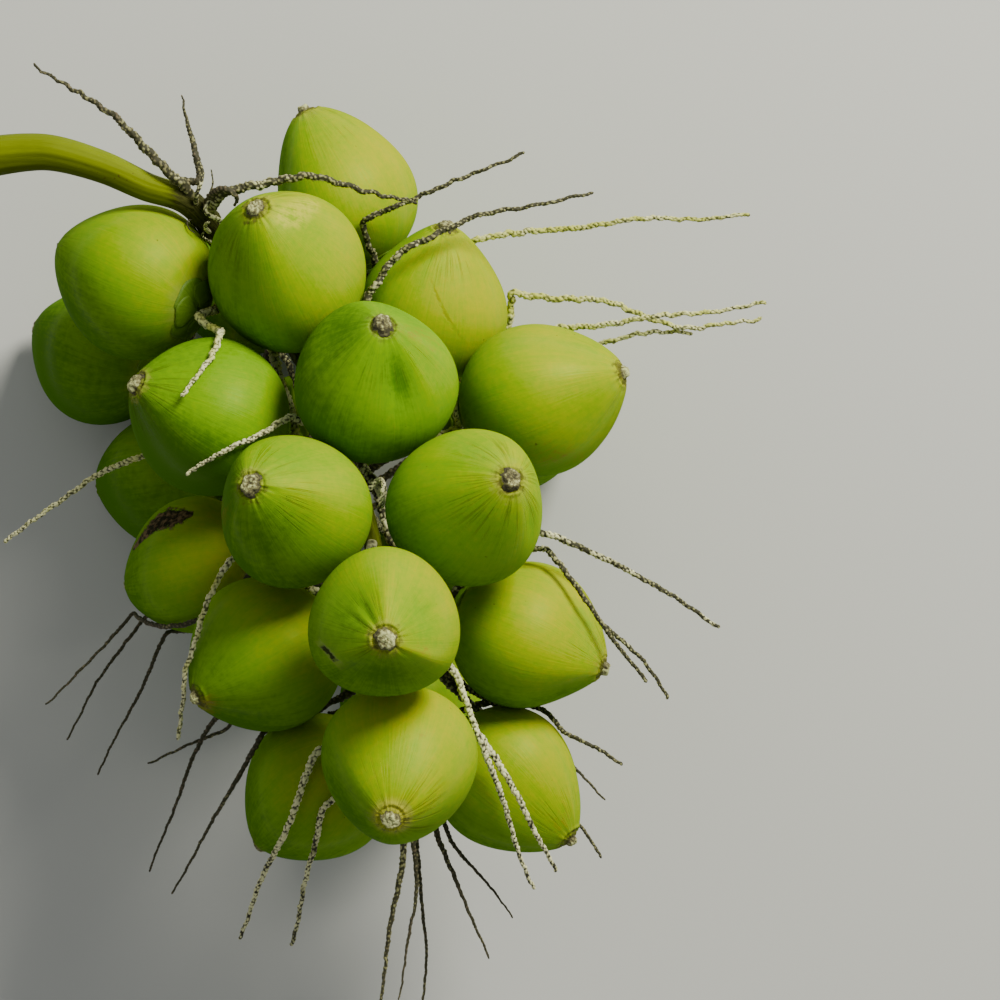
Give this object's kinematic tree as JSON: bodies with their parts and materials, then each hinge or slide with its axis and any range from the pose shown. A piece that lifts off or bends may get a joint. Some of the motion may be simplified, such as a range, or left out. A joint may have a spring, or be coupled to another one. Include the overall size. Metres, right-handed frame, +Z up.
{
  "type": "coconut bunch",
  "caption": "Cut bunch of green coconuts on a branched stalk, lying on its back: smooth three-ridged husks with dry tips, and thin knobbly spikelets sticking out between them.",
  "frame": {"origin": "centre of the bunch's outline on the surface that it lies on", "axes": "+Z up, the way the face that the picture shows looks when the bunch lies on its back; +Y from the hanging end of the bunch to its stalk, +X to the right of the picture"},
  "size_m": [0.8274, 0.9509, 0.6096],
  "materials": {
    "husk": "smooth waxy green husk, yellow-green towards the light, brown dry tip",
    "stalk": "smooth yellow-green stalk, pale fibrous cut face",
    "spikelet": "knobbly cream to brown, rough and dry"
  },
  "bodies": {
    "root": {"stalk": "stalk", "rachis": "stalk", "nut_a": "husk", "nut_b": "husk", "nut_c": "husk", "nut_d": "husk", "nut_e": "husk", "nut_f": "husk", "nut_g": "husk", "nut_h": "husk", "nut_i": "husk", "nut_j": "husk", "nut_k": "husk", "nut_l": "husk", "nut_m": "husk", "nut_n": "husk", "nut_o": "husk", "nut_p": "husk", "nut_q": "husk", "nut_r": "husk", "nut_v1": "husk", "nut_v2": "husk", "nut_v3": "husk", "nut_v4": "husk", "nut_v5": "husk", "nut_v6": "husk", "nut_v7": "husk", "spikelet_top_1": "spikelet", "spikelet_top_3": "spikelet", "spikelet_b": "spikelet", "spikelet_q": "spikelet", "spikelet_v1": "spikelet", "spikelet_a": "spikelet", "spikelet_g": "spikelet", "spikelet_v2": "spikelet", "spikelet_c": "spikelet", "spikelet_r": "spikelet", "spikelet_d": "spikelet", "spikelet_v4": "spikelet", "spikelet_e": "spikelet", "spikelet_v3": "spikelet", "spikelet_f": "spikelet", "spikelet_p": "spikelet", "spikelet_h": "spikelet", "spikelet_i": "spikelet", "spikelet_l": "spikelet", "spikelet_k": "spikelet", "spikelet_v6": "spikelet", "spikelet_low_9": "spikelet", "spikelet_v5": "spikelet", "spikelet_v7": "spikelet", "spikelet_j": "spikelet", "spikelet_low_1": "spikelet", "spikelet_low_4": "spikelet", "spikelet_n": "spikelet", "spikelet_o": "spikelet", "spikelet_low_2": "spikelet", "spikelet_m": "spikelet", "spikelet_low_5": "spikelet", "spikelet_low_7": "spikelet"}
  },
  "joints": []
}
